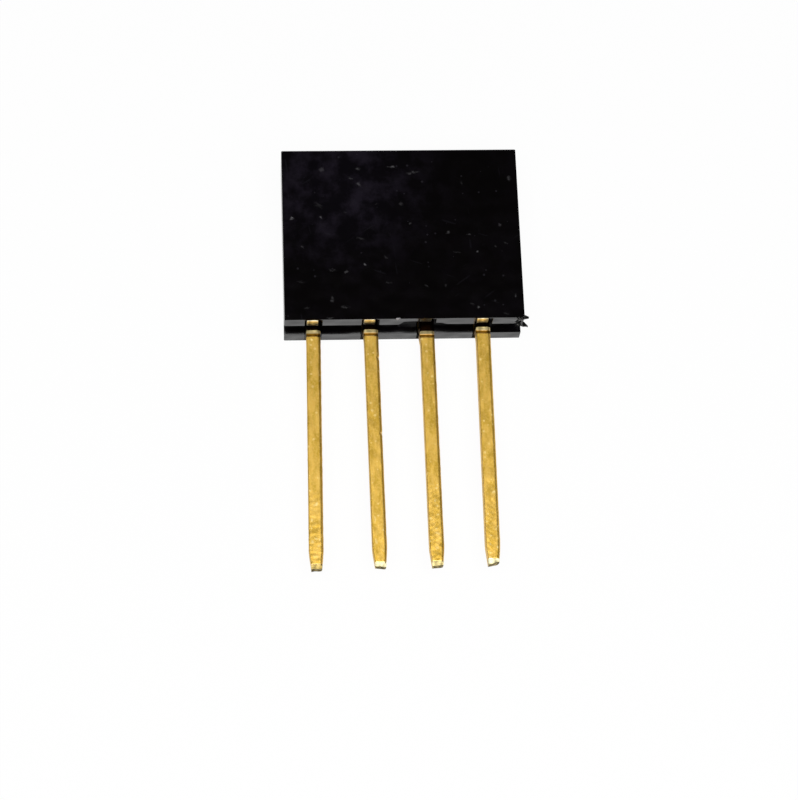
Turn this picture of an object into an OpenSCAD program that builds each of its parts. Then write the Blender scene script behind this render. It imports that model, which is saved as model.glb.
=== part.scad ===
// Female pin header strip, single row, with long square tails that pass through a board.
// It lies on its rear face: +X runs along the row, +Y points to the socket mouths,
// +Z comes out of the front face. The origin is the centre of the row of tails,
// where it crosses the seating plane under the rails. All sizes are in millimetres.

/* [Row] */
// Distance from one contact to the next
pitch = 2.54; // [2.2:0.01:3.2]
// Width of the square pin that the sockets take, and of the strip's own tails
pin_w = 0.64; // [0.55:0.01:0.7]

/* [Housing] */
// Height of the housing, from the seating plane to the mouths
body_h = 8.32; // [7:0.01:12]
// Depth of the housing, from its rear face to its front face
body_d = 2.5; // [2.4:0.01:3]
// Length of housing past the first contact, to the moulded end
moulded_end = 1.31; // [1:0.01:2]
// Length of housing past the last contact, to the end where the strip was cut off
cut_end = 1.8; // [1.3:0.01:2.1]
// Radius of the two upright edges at the moulded end
edge_r = 0.08; // [0.03:0.01:0.15]
// Chamfer round the mouth face
rim_c = 0.05; // [0.02:0.01:0.1]

/* [Sockets] */
// Gap on each side of a pin in the square hole of a mouth
mouth_gap = 0.04; // [0.02:0.01:0.1]
// Width of the sloping lead-in round each mouth
lead_w = 0.27; // [0.1:0.01:0.35]
// Depth of the sloping lead-in
lead_h = 0.42; // [0.2:0.01:0.7]
// Thickness of the roof that the mouths pass through
roof_t = 1.1; // [0.8:0.01:1.5]
// Gap on each side of a pin in the cavity under the roof
side_gap = 0.06; // [0.03:0.01:0.15]
// Thickness of the front and rear walls beside a cavity
wall_t = 0.25; // [0.22:0.01:0.32]

/* [Underside] */
// Depth of the front rail, which the strip stands on
front_rail = 0.72; // [0.6:0.01:0.85]
// Depth of the rear rail
rear_rail = 0.7; // [0.6:0.01:0.85]
// Height of the channel between the rails
channel_h = 0.46; // [0.2:0.01:0.7]
// How far a cavity widens at its lower end, where the contact is pushed in
flare_w = 0.18; // [0.05:0.01:0.18]
// Height of that widening
flare_h = 0.5; // [0.45:0.01:0.6]

/* [Contact springs] */
// Thickness of the sheet that the springs are formed from
sheet_t = 0.2; // [0.15:0.01:0.25]
// Width of each spring at its foot
spring_w = 0.52; // [0.44:0.01:0.54]
// Width of each spring at its upper end
spring_tip_w = 0.4; // [0.3:0.01:0.5]
// How much narrower the gap between the springs is than the pin it takes
grip = 0.22; // [0.1:0.01:0.3]
// Gap between a contact's upright legs and the cavity's walls
seat_gap = 0.02; // [0.01:0.01:0.05]
// Height of the contact's feet above the seating plane
foot_rise = 0.02; // [0.01:0.01:0.1]
// Share of the cavity's widening that a foot fills
foot_fill = 0.8; // [0.2:0.01:0.9]
// Height of a foot, from its underside to where its leg starts
foot_h = 0.35; // [0.3:0.01:0.4]
// Radius of a foot's two lower edges
foot_r = 0.1; // [0.05:0.01:0.15]
// Width of the slot between a foot and the tail
slot_w = 0.11; // [0.08:0.01:0.16]
// Height of that slot, above the foot's underside
slot_h = 0.3; // [0.25:0.01:0.4]
// Height at which the legs end and the springs begin to close
leg_h = 1.9; // [1.6:0.01:2.4]
// Length of the flared end above the point where the springs touch a pin
flared_end = 0.9; // [0.6:0.01:1.3]
// How far each spring flares out at its upper end
flare_out = 0.34; // [0.15:0.01:0.4]
// Gap between the upper ends of the springs and the roof
roof_gap = 0.12; // [0.05:0.01:0.4]
// Height of the barbs that hold the contact in its cavity
barb_y = 1.15; // [0.9:0.01:1.3]
// Length of a barb along the leg
barb_l = 0.45; // [0.3:0.01:0.6]
// Gap between a barb and the cavity's wall
barb_gap = 0.01; // [0.005:0.001:0.02]

/* [Tails] */
// Length of a tail below the seating plane
tail_l = 11.11; // [4:0.01:16]
// Radius of the tail's folded edges, on the side away from the seam
fold_r = 0.15; // [0.08:0.01:0.2]
// Radius of the tail's edges beside the seam
seam_edge_r = 0.04; // [0.02:0.01:0.06]
// Depth of the seam where the folded sheet's edges meet
seam_depth = 0.07; // [0.03:0.01:0.1]
// Width of the seam at the surface
seam_w = 0.05; // [0.02:0.01:0.08]
// Half the thickness of the neck between the tail and the bridges
neck_half = 0.15; // [0.12:0.01:0.2]
// How far the lip at the top of the tail stands out to the front and rear
lip_out = 0.06; // [0.02:0.01:0.12]
// Height of the lip's slope
lip_h = 0.16; // [0.1:0.01:0.2]
// Depth of the groove under the lip
groove_d = 0.04; // [0.02:0.01:0.06]
// Height of the slope below the groove
groove_h = 0.16; // [0.1:0.01:0.25]
// Length of the narrowing at the tip
taper_l = 0.85; // [0.5:0.01:1.5]
// How far each side narrows along that length
taper_side = 0.08; // [0.03:0.01:0.1]
// Bevel at the front of the tip
bevel_front = 0.19; // [0.08:0.01:0.2]
// Bevel at the rear of the tip
bevel_rear = 0.06; // [0.04:0.01:0.2]

/* [Each contact] */
// Lean of each tail to the right, in degrees
lean = [-0.58, 0.41, 0.19, -0.26]; // [-2:0.01:2]
// How far each tail stands off to the right of the middle of its cavity
root_shift = [0, 0.04, 0.03, 0.02]; // [-0.04:0.01:0.04]
// How much higher than the common height each contact's feet sit
foot_lift = [0, 0.03, 0.13, 0.03]; // [0:0.01:0.15]
// Depth of the lip at the top of each tail, below the seating plane
lip_depth = [0.15, 0.14, 0.24, 0.08]; // [0.05:0.01:0.3]
// Length that each tail has over the common length
extra_l = [0.05, 0, 0, -0.06]; // [-0.2:0.01:0.2]
// Slope of the sheared end of each tail, in degrees
end_slope = [2, -4, 3, 13]; // [-15:1:15]
// Width of the spur that each tail keeps at its root, on the seam side
spur_w = [0.01, 0.02, 0.05, 0.03]; // [0.01:0.01:0.1]

/* [Cut end] */
// Length of the torn patch along the underside at the cut end
torn_l = 0.36; // [0.1:0.01:0.5]
// Height of the torn patch on the cut end
torn_h = 0.07; // [0.03:0.01:0.2]
// Angle of the torn patch's edge across the underside, in degrees
torn_turn = 12; // [0:1:20]
// How far the burr at the front edge stands out of the cut end
front_burr = 0.19; // [0.05:0.01:0.3]
// Front burr's heights over the seating plane: under and over its root, under and over its tip
front_burr_y = [-0.03, 0.13, -0.01, 0.05]; // [-0.2:0.01:0.2]
// How far the burr at the front rail's inner edge stands out
inner_burr = 0.2; // [0.05:0.01:0.3]
// Inner burr's heights, in the same order
inner_burr_y = [-0.13, 0.06, -0.16, -0.12]; // [-0.2:0.01:0.2]
// Distance that the inner burr's tip leans over the channel
inner_burr_lean = 0.03; // [0:0.01:0.1]
// Thickness of the burrs at their roots, from front to rear
burr_t = 0.3; // [0.15:0.01:0.32]
// How far inside the cut end the lowest edge of a burr starts
burr_heel = 0.06; // [0.02:0.01:0.1]

/* [Hidden] */
NODES = ["housing", "contact_1", "contact_2", "contact_3", "contact_4"];
$fn = 32;

positions = len(NODES) - 1;
row_l = pitch * (positions - 1);
left_x = -row_l / 2 - moulded_end;
right_x = row_l / 2 + cut_end;
front_z = body_d / 2;
rear_z = -body_d / 2;
inner_z = front_z - front_rail;

// Extra length with which a cutting shape runs past the surface that it cuts
past = 1;

mouth_w = pin_w + 2 * mouth_gap;
cavity_w = pin_w + 2 * side_gap;
cavity_top = body_h - roof_t;
cavity_half = body_d / 2 - wall_t;

// The springs: z is measured from the middle of the contact
leg_z = cavity_half - seat_gap - sheet_t / 2;
touch_z = (pin_w - grip) / 2 + sheet_t / 2;
spring_top = cavity_top - roof_gap;
touch_y = spring_top - flared_end;
spring_steps = 14;
flare_steps = 6;

// A tail ends inside the housing where its two layers part, at the top of the bridges
bridge_low = foot_rise + slot_h;
tail_top = bridge_low + sheet_t;

// Feet, legs and springs are kept just inside the tail's seam side,
// and stop short of its folded side, which is slit so that the two layers can part
seam_inset = 0.01;
spring_x = -pin_w / 2 + seam_inset + spring_w / 2;

// Depths below the seating plane of the groove under contact i's lip, and of the shaft's start
function groove_depth(i) = lip_depth[i] + lip_h;
function shaft_depth(i) = groove_depth(i) + groove_h;

// A burr starts well inside the torn patch, so that no gap is left behind it
burr_root = torn_l + 0.12;

function contact_x(i) = -row_l / 2 + pitch * i;
function ease(t) = t * t * (3 - 2 * t);

// Centre line of a spring, as [z, y] points, from inside its leg to its flared end
function spring_line() = concat(
    [[leg_z, leg_h - sheet_t]],
    [for (i = [0:spring_steps])
        let (t = i / spring_steps)
        [leg_z + (touch_z - leg_z) * ease(t), leg_h + (touch_y - leg_h) * t]],
    [for (i = [1:flare_steps])
        let (t = i / flare_steps)
        [touch_z + flare_out * t * t, touch_y + flared_end * t]]
);

// Direction across the line at point i, taken from its neighbours
function across(line, i) =
    let (
        a = line[max(i - 1, 0)],
        b = line[min(i + 1, len(line) - 1)],
        d = b - a
    )
    [d[1], -d[0]] / norm(d);

// Outline of a strip of even thickness along a line
function strip_outline(line, thickness) = concat(
    [for (i = [0:len(line) - 1]) line[i] + across(line, i) * thickness / 2],
    [for (i = [len(line) - 1:-1:0]) line[i] - across(line, i) * thickness / 2]
);

// A shape drawn in [z, y] is carried along X over a width, about the middle x
module across_x(width, x = 0) {
    translate([x, 0, 0])
        rotate([0, -90, 0])
            linear_extrude(width, center = true)
                children();
}

// A shape drawn in [x, z] is carried from the height top down to the height bottom
module down_y(top, bottom) {
    translate([0, top, 0])
        rotate([90, 0, 0])
            linear_extrude(top - bottom)
                children();
}

// Section of the housing's block, with its upright edges rounded at the moulded end only
module block_section() {
    translate([left_x + edge_r, rear_z])
        square([right_x - left_x - edge_r, body_d]);
    translate([left_x, rear_z + edge_r])
        square([2 * edge_r, body_d - 2 * edge_r]);
    for (z = [rear_z + edge_r, front_z - edge_r])
        translate([left_x + edge_r, z])
            circle(edge_r);
}

// Outline of a face of the housing from low to high, with the rim's chamfer at the top
module rim_outline(low, high) {
    polygon([
        [low, 0], [high, 0],
        [high, body_h - rim_c], [high - rim_c, body_h],
        [low + rim_c, body_h], [low, body_h - rim_c]
    ]);
}

module block() {
    intersection() {
        down_y(body_h, 0)
            block_section();
        linear_extrude(2 * body_d, center = true)
            rim_outline(left_x, right_x);
        across_x(4 * (right_x - left_x))
            rim_outline(rear_z, front_z);
    }
}

// Half of the lead-in funnel's outline, which is the same seen from the front and the side
module funnel_outline() {
    half = mouth_w / 2;
    polygon([
        [-half, cavity_top - past / 2], [half, cavity_top - past / 2],
        [half, body_h - lead_h], [half + lead_w, body_h],
        [half + lead_w, body_h + past], [-half - lead_w, body_h + past],
        [-half - lead_w, body_h], [-half, body_h - lead_h]
    ]);
}

// One socket: a square mouth with four sloping sides, and the cavity under it,
// open at the bottom, where it also cuts a notch in each rail
module socket() {
    intersection() {
        linear_extrude(body_d, center = true)
            funnel_outline();
        across_x(body_d)
            funnel_outline();
    }
    across_x(cavity_w)
        polygon([
            [-cavity_half - flare_w, -past], [cavity_half + flare_w, -past],
            [cavity_half + flare_w, 0], [cavity_half, flare_h],
            [cavity_half, cavity_top], [-cavity_half, cavity_top],
            [-cavity_half, flare_h], [-cavity_half - flare_w, 0]
        ]);
}

module channel() {
    translate([left_x - past, -past, rear_z + rear_rail])
        cube([right_x - left_x + 2 * past, channel_h + past, body_d - front_rail - rear_rail]);
}

// The torn patch: a wedge off the lower corner of the cut end, turned across the strip
module torn_patch() {
    translate([right_x, 0, front_z])
        rotate([0, -torn_turn, 0])
            linear_extrude(4 * body_d, center = true)
                polygon([
                    [-torn_l, 0], [0, torn_h], [past, torn_h + past * torn_h / torn_l],
                    [past, -past], [-torn_l, -past]
                ]);
}

// A burr: a blunt wedge of plastic out of the cut end, thinner towards its tip.
// Its root is centred on root_z and its tip on tip_z.
module burr(out, heights, root_z, tip_z) {
    root = right_x - burr_root;
    tip = right_x + out;
    tip_half = burr_t / 6;
    intersection() {
        linear_extrude(4 * body_d, center = true)
            polygon([
                [root, torn_h / 2], [right_x - burr_heel, heights[0]], [tip, heights[2]],
                [tip, heights[3]], [right_x, heights[1]], [root, heights[1]]
            ]);
        down_y(past, -past)
            polygon([
                [root, root_z - burr_t / 2], [tip, tip_z - tip_half],
                [tip, tip_z + tip_half], [root, root_z + burr_t / 2]
            ]);
    }
}

module housing() {
    color([0.05, 0.05, 0.055])
        union() {
            difference() {
                block();
                channel();
                torn_patch();
                for (i = [0:positions - 1])
                    translate([contact_x(i), 0, 0])
                        socket();
            }
            burr(front_burr, front_burr_y, front_z - burr_t / 2, front_z - burr_t / 3);
            burr(inner_burr, inner_burr_y, inner_z + burr_t / 2, inner_z - inner_burr_lean);
        }
}

// Section of a tail: a strip folded double and squared up, with the fold on the right,
// where its edges are round, and the seam between the two layers on the left
module tail_section() {
    half = pin_w / 2;
    difference() {
        union() {
            translate([-half + seam_edge_r, -half])
                square([pin_w - seam_edge_r - fold_r, pin_w]);
            translate([-half, -half + seam_edge_r])
                square([2 * seam_edge_r, pin_w - 2 * seam_edge_r]);
            translate([half - 2 * fold_r, -half + fold_r])
                square([2 * fold_r, pin_w - 2 * fold_r]);
            for (s = [-1, 1]) {
                translate([-half + seam_edge_r, s * (half - seam_edge_r)])
                    circle(seam_edge_r);
                translate([half - fold_r, s * (half - fold_r)])
                    circle(fold_r);
            }
        }
        polygon([[-half - seam_w, -seam_w], [-half + seam_depth, 0], [-half - seam_w, seam_w]]);
    }
}

// Tail of contact i, from its top in the housing to its sheared end
module tail(i) {
    half = pin_w / 2;
    length = tail_l + extra_l[i];
    rise = half * tan(end_slope[i]);
    intersection() {
        union() {
            down_y(tail_top, -length - past)
                tail_section();
            down_y(-lip_depth[i], -groove_depth(i))
                square([pin_w - 2 * seam_inset, 2 * pin_w], center = true);
        }
        linear_extrude(4 * pin_w, center = true)
            polygon([
                [-half, tail_top], [-half, -length + taper_l],
                [-half + taper_side, -length - rise], [half - taper_side, -length + rise],
                [half, -length + taper_l], [half, tail_top]
            ]);
        across_x(4 * pin_w)
            polygon([
                [-half, -shaft_depth(i)], [-half, bevel_rear - length],
                [bevel_rear - half, -length - past / 10], [half - bevel_front, -length - past / 10],
                [half, bevel_front - length], [half, -shaft_depth(i)],
                [half - groove_d, -groove_depth(i)], [half + lip_out, -lip_depth[i]],
                [neck_half, -lip_depth[i]], [neck_half, tail_top],
                [-neck_half, tail_top], [-neck_half, -lip_depth[i]],
                [-half - lip_out, -lip_depth[i]], [groove_d - half, -groove_depth(i)]
            ]);
    }
}

// The spur that the shears leave beside the seam, at the root of contact i's tail
module tail_spur(i) {
    half = pin_w / 2;
    linear_extrude(pin_w - 2 * seam_edge_r, center = true)
        polygon([
            [-half + seam_depth, -lip_depth[i]], [-half - spur_w[i], -lip_depth[i] - lip_h / 2],
            [-half - spur_w[i], -groove_depth(i)], [-half + seam_depth, -shaft_depth(i) - lip_h]
        ]);
}

// Side view of contact i's front foot: a layer leaves the tail over a bridge inside the housing,
// turns down to the seating plane and is pressed into a flat loop there
module foot_side(i) {
    inner = pin_w / 2 + slot_w;
    leg = cavity_half - seat_gap;
    low = foot_rise + foot_lift[i];
    outer = leg + foot_fill * flare_w * (1 - (low + sheet_t) / flare_h);
    bend = low + foot_r;
    translate([0, bridge_low])
        square([inner + sheet_t, sheet_t]);
    translate([inner, bend])
        square([sheet_t, tail_top - bend]);
    translate([inner, bend])
        square([outer - inner, sheet_t - foot_r]);
    translate([inner + foot_r, low])
        square([outer - inner - 2 * foot_r, sheet_t]);
    for (z = [inner + foot_r, outer - foot_r])
        translate([z, bend])
            circle(foot_r);
    polygon([
        [leg - sheet_t, bend], [outer, bend], [outer, low + sheet_t],
        [leg, low + foot_h], [leg - sheet_t, low + foot_h]
    ]);
}

// Side view of contact i's front foot, leg and spring
module spring_side(i) {
    leg = cavity_half - seat_gap;
    start = foot_rise + foot_lift[i] + foot_r;
    foot_side(i);
    translate([leg - sheet_t, start])
        square([sheet_t, leg_h - start]);
    polygon(strip_outline(spring_line(), sheet_t));
}

// Front view of a spring, with the two barbs on its leg
module spring_front() {
    foot = spring_w / 2;
    tip = spring_tip_w / 2;
    barb_left = -cavity_w / 2 + barb_gap - spring_x;
    barb_right = cavity_w / 2 - barb_gap - spring_x;
    polygon([
        [-foot, -past], [foot, -past],
        [foot, barb_y], [barb_right, barb_y], [foot, barb_y + barb_l],
        [foot, leg_h], [tip, touch_y], [tip, body_h],
        [-tip, body_h], [-tip, touch_y], [-foot, leg_h],
        [-foot, barb_y + barb_l], [barb_left, barb_y], [-foot, barb_y]
    ]);
}

// The pair of springs of contact i, with their legs and feet
module springs(i) {
    intersection() {
        translate([spring_x, 0, 0])
            linear_extrude(body_d, center = true)
                spring_front();
        across_x(2 * cavity_w)
            union() {
                spring_side(i);
                mirror([1, 0])
                    spring_side(i);
            }
    }
}

module contact(i) {
    color([0.8, 0.64, 0.28])
        translate([contact_x(i), 0, 0])
            union() {
                springs(i);
                translate([root_shift[i], 0, 0])
                    rotate([0, 0, lean[i]]) {
                        tail(i);
                        tail_spur(i);
                    }
            }
}

housing();
contact(0);  // contact_1
contact(1);  // contact_2
contact(2);  // contact_3
contact(3);  // contact_4
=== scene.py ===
# %% [markdown]
# # A female pin header strip, on its back
#
# The object is a short piece of a single-row socket strip: a black moulded block with four
# gold-plated contacts. Each contact is one strip of sheet metal, folded double into a long
# square tail and opened into two springs inside the block. The real part is about 11 by 19 by
# 2.5 millimetres, so this file works in metres with a millimetre as its own unit.
#
# The solid model is loaded first. It is the frame: it fixes every size and place, and nothing
# here moves it.

import math

import bmesh
import bpy
import numpy as np
from mathutils import Matrix, Vector


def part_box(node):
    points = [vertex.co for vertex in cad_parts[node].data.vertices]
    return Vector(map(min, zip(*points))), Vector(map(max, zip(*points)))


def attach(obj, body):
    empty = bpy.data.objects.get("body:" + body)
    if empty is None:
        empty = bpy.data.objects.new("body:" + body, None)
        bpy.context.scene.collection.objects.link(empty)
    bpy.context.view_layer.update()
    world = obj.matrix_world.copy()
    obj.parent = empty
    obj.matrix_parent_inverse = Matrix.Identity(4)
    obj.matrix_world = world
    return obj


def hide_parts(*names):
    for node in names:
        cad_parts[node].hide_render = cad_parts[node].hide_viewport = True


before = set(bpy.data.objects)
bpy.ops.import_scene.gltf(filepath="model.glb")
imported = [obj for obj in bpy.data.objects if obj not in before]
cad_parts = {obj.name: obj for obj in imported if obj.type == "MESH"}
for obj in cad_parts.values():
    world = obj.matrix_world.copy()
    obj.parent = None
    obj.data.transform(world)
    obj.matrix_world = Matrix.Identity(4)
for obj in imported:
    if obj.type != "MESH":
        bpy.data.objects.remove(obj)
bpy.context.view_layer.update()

MM = 0.001
CONTACTS = ["contact_1", "contact_2", "contact_3", "contact_4"]

block_low, block_high = (np.array(c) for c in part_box("housing"))
print("housing, mm:", (block_high - block_low) / MM)

# %% [markdown]
# ## Camera
#
# The photograph looks down on the front face. The camera leans 19.7 degrees towards the
# tails, so the undersides of both rails show, and it swings 3.7 degrees to the left.
# A perspective this strong means a lens close to the part, about 100 millimetres away. The
# three turns are written one after the other, as a photographer would make them.

# %% Camera
CAMERA_LEAN = math.radians(19.683)
CAMERA_SWING = math.radians(-3.698)
CAMERA_ROLL = math.radians(-0.810)
CAMERA_REACH = 102.365 * MM
AIM_DROP = 3.635 * MM
FOCAL_PIXELS = 2300
LONG_SIDE_PIXELS = 800
SENSOR = 36.0
HALF_PIXEL = 0.5


def put_object(name, data):
    """A new object in the scene."""
    thing = bpy.data.objects.new(name, data)
    bpy.context.scene.collection.objects.link(thing)
    return thing


def make_camera():
    """The camera stands CAMERA_REACH from the front face, along its own axis.

    Its turn is lean about X, then swing about its own Y, then roll about its own Z.
    AIM_DROP is how far below the middle of the row, in the picture, it aims.
    """
    data = bpy.data.cameras.new("camera")
    data.sensor_width = SENSOR
    data.lens = FOCAL_PIXELS / LONG_SIDE_PIXELS * SENSOR
    data.clip_start = 1 * MM
    data.clip_end = 10.0
    camera = put_object("camera", data)
    turn = (
        Matrix.Rotation(CAMERA_LEAN, 4, "X")
        @ Matrix.Rotation(CAMERA_SWING, 4, "Y")
        @ Matrix.Rotation(CAMERA_ROLL, 4, "Z")
    )
    start = Vector((0, 0, block_high[2]))
    half_pixel = HALF_PIXEL * CAMERA_REACH / FOCAL_PIXELS
    offset = turn @ Vector((-half_pixel, half_pixel - AIM_DROP, CAMERA_REACH))
    camera.matrix_world = Matrix.Translation(start + offset) @ turn
    bpy.context.scene.camera = camera
    return camera


camera = make_camera()
print("camera at, mm:", [round(v / MM, 2) for v in camera.matrix_world.translation])

# %% [markdown]
# ## Floor and light
#
# The background of the photograph is plain white with hardly a shadow. White comes from the
# floor's own colour: most of what the camera and the shiny surfaces see of it is plain white,
# so the lamps can stay at a plain level, and the rest is lit, so the shadow stays faintly
# visible. Past the floor's edge the surround is white too, for the camera everywhere and for
# shiny surfaces as high as a studio's white cove would reach. Above that they see a dim room.
#
# Gold and black plastic are drawn mostly by what they reflect. One soft lamp over the camera
# gives the bright front faces, and the dimmer world round it leaves the sides of the tails dark.

# %% Node helpers


def link_in(tree, socket, value):
    """Sets a socket to a value, or links another socket to it."""
    if isinstance(value, bpy.types.NodeSocket):
        tree.links.new(value, socket)
    elif value is not None:
        socket.default_value = value


def new_node(tree, kind, **inputs):
    """A new node, whose inputs are set or linked by name. _ in a name stands for a space."""
    node = tree.nodes.new(kind)
    for name, value in inputs.items():
        link_in(tree, node.inputs[name.replace("_", " ")], value)
    return node


def math_node(tree, operation, a, b=None, c=None, clamp=False):
    """One Math node, and its output."""
    node = tree.nodes.new("ShaderNodeMath")
    node.operation = operation
    node.use_clamp = clamp
    for socket, value in zip(node.inputs, (a, b, c)):
        link_in(tree, socket, value)
    return node.outputs[0]


def step_node(tree, value, low, high, out_low=0.0, out_high=1.0):
    """A smooth step of a value from low to high."""
    node = new_node(
        tree, "ShaderNodeMapRange", Value=value,
        From_Min=low, From_Max=high, To_Min=out_low, To_Max=out_high,
    )
    node.interpolation_type = "SMOOTHSTEP"
    return node.outputs["Result"]


def new_material(name, **inputs):
    """A node material with only its output and a Principled shader with the given inputs."""
    material = bpy.data.materials.new(name)
    material.use_nodes = True
    tree = material.node_tree
    tree.nodes.clear()
    out = tree.nodes.new("ShaderNodeOutputMaterial")
    shader = new_node(tree, "ShaderNodeBsdfPrincipled", **inputs)
    tree.links.new(shader.outputs["BSDF"], out.inputs["Surface"])
    return material, tree, shader, out


# %% Floor
FLOOR_REACH = 1.5
FLOOR_GLOW = 0.955
FLOOR_COLOUR = (0.9, 0.9, 0.9, 1)


def mirror_rays(tree):
    """The Light Path node, and 1 for a ray that a shiny or a clear surface sends out."""
    rays = tree.nodes.new("ShaderNodeLightPath")
    glossy, clear = rays.outputs["Is Glossy Ray"], rays.outputs["Is Transmission Ray"]
    return rays, math_node(tree, "MAXIMUM", glossy, clear)


def make_floor():
    """A square floor at the level that the part rests on.

    The share FLOOR_GLOW of what the camera, a mirror or a glass sees of it is plain
    white, and the rest is lit by the lamps, so a faint shadow stays.
    """
    z = block_low[2]
    r = FLOOR_REACH
    mesh = bpy.data.meshes.new("floor")
    mesh.from_pydata([(-r, -r, z), (r, -r, z), (r, r, z), (-r, r, z)], [], [(0, 1, 2, 3)])
    floor = put_object("floor", mesh)
    material, tree, shader, out = new_material(
        "white_floor", Base_Color=FLOOR_COLOUR, Roughness=0.9, Specular_IOR_Level=0.1
    )
    rays, mirrors = mirror_rays(tree)
    seen = math_node(tree, "MAXIMUM", rays.outputs["Is Camera Ray"], mirrors)
    glow = new_node(tree, "ShaderNodeEmission", Strength=1.0)
    share = math_node(tree, "MULTIPLY", seen, FLOOR_GLOW)
    mix = new_node(tree, "ShaderNodeMixShader", Fac=share)
    tree.links.new(shader.outputs["BSDF"], mix.inputs[1])
    tree.links.new(glow.outputs["Emission"], mix.inputs[2])
    tree.links.new(mix.outputs[0], out.inputs["Surface"])
    mesh.materials.append(material)
    print("floor at, mm:", round(z / MM, 2))


make_floor()

# %% Lamps and world
LAMP_GLOW = 4.75
CARD_GLOW = 1.75
WORLD_LEVEL = 0.04
COVE_TOP = 0.2


def make_lamp(name, size, place, aim, glow):
    """A soft rectangular lamp of a given glow, turned to face a point. Sizes and places
    are in millimetres. A flat lamp's power is its glow times its area times pi.
    """
    wide, high = size[0] * MM, size[1] * MM
    data = bpy.data.lights.new(name, "AREA")
    data.shape = "RECTANGLE"
    data.size = wide
    data.size_y = high
    data.energy = glow * wide * high * math.pi
    lamp = put_object(name, data)
    way = Vector(place) - Vector(aim)
    lamp.location = Vector(place) * MM
    lamp.rotation_euler = way.to_track_quat("Z", "Y").to_euler()
    print("lamp", name, "watts:", round(data.energy, 3))


def make_world():
    """White for the camera. A mirror sees white up to the top of the cove, and dim above.

    The height of a direction is its sine: 0 on the horizon and 1 straight up.
    """
    world = bpy.data.worlds.new("surround")
    bpy.context.scene.world = world
    world.use_nodes = True
    tree = world.node_tree
    tree.nodes.clear()
    out = tree.nodes.new("ShaderNodeOutputWorld")
    mix = tree.nodes.new("ShaderNodeMixShader")
    for socket, strength in ((mix.inputs[1], WORLD_LEVEL), (mix.inputs[2], 1.0)):
        light = new_node(tree, "ShaderNodeBackground", Color=(1, 1, 1, 1), Strength=strength)
        tree.links.new(light.outputs[0], socket)
    way = tree.nodes.new("ShaderNodeTexCoord").outputs["Generated"]
    split = new_node(tree, "ShaderNodeSeparateXYZ", Vector=way)
    cove = step_node(tree, split.outputs["Z"], COVE_TOP / 2, COVE_TOP, 1.0, 0.0)
    rays, mirrors = mirror_rays(tree)
    seen = math_node(tree, "MULTIPLY", mirrors, cove)
    seen = math_node(tree, "MAXIMUM", seen, rays.outputs["Is Camera Ray"])
    tree.links.new(seen, mix.inputs["Fac"])
    tree.links.new(mix.outputs[0], out.inputs["Surface"])


make_lamp("overhead", (150, 130), (0, -55, 150), (0, -55, 0), LAMP_GLOW)
make_lamp("front_card", (160, 50), (0, -120, 32), (0, 0, 0), CARD_GLOW)
make_world()
bpy.context.scene.view_settings.view_transform = "Standard"

# %% [markdown]
# ## Helpers for surfaces
#
# Every new piece is a surface worked out with numpy. Rings of points are stacked along a
# path, and whole arrays of points are turned into a mesh at once. Each loft is closed at both
# ends with a middle point, so that the mesh has no holes.

# %% Mesh helpers


def put_mesh(name, points, quads, triangles):
    """A mesh from arrays: points (n, 3), quads (q, 4) and triangles (t, 3) of point numbers."""
    mesh = bpy.data.meshes.new(name)
    loops = np.concatenate([quads.ravel(), triangles.ravel()])
    counts = np.concatenate([np.full(len(quads), 4), np.full(len(triangles), 3)])
    starts = np.concatenate([[0], np.cumsum(counts)[:-1]])
    mesh.vertices.add(len(points))
    mesh.vertices.foreach_set("co", np.ascontiguousarray(points, dtype=np.float32).ravel())
    mesh.loops.add(len(loops))
    mesh.loops.foreach_set("vertex_index", loops.astype(np.int32))
    mesh.polygons.add(len(counts))
    mesh.polygons.foreach_set("loop_start", starts.astype(np.int32))
    mesh.update(calc_edges=True)
    mesh.validate()
    return mesh


def loft(rings):
    """Points and faces of a closed tube from an array of rings (stations, ring, 3).

    Point (s, k) is number s * ring + k. Quad (s, k) joins it to its neighbours in the ring
    and in the next ring. The two middle points come last, and a fan of triangles goes from
    the first ring and from the last to its own.
    """
    stations, ring = rings.shape[:2]
    middles = np.stack([rings[0].mean(axis=0), rings[-1].mean(axis=0)])
    points = np.concatenate([rings.reshape(-1, 3), middles])
    s = np.arange(stations - 1)[:, None] * ring
    k = np.arange(ring)[None, :]
    nxt = (k + 1) % ring
    quads = np.stack([s + k, s + nxt, s + ring + nxt, s + ring + k], axis=-1).reshape(-1, 4)
    first, last = stations * ring, stations * ring + 1
    k, nxt = k.ravel(), nxt.ravel()
    end = (stations - 1) * ring
    fan_start = np.stack([nxt, k, np.full(ring, first)], axis=-1)
    fan_end = np.stack([end + k, end + nxt, np.full(ring, last)], axis=-1)
    return points, quads, np.concatenate([fan_start, fan_end])


def outward(points, quads, triangles):
    """The same faces, turned round if the closed surface is inside out.

    Its volume is a sixth of the sum of the triple products of its triangles' corners.
    """
    both = np.concatenate([quads[:, [0, 1, 2]], quads[:, [0, 2, 3]], triangles])
    a, b, c = (points[both[:, j]] for j in range(3))
    volume = np.einsum("ij,ij->i", a, np.cross(b, c)).sum() / 6
    if volume < 0:
        quads, triangles = quads[:, ::-1], triangles[:, ::-1]
    return points, quads, triangles, abs(volume)


def joined(parts):
    """Several closed surfaces in one set of arrays, and their volume in cubic millimetres."""
    points, quads, triangles, volume, shift = [], [], [], 0.0, 0
    for part in parts:
        p, q, t, v = outward(*part)
        points.append(p)
        quads.append(q + shift)
        triangles.append(t + shift)
        shift += len(p)
        volume += v
    return np.concatenate(points), np.concatenate(quads), np.concatenate(triangles), volume


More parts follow.
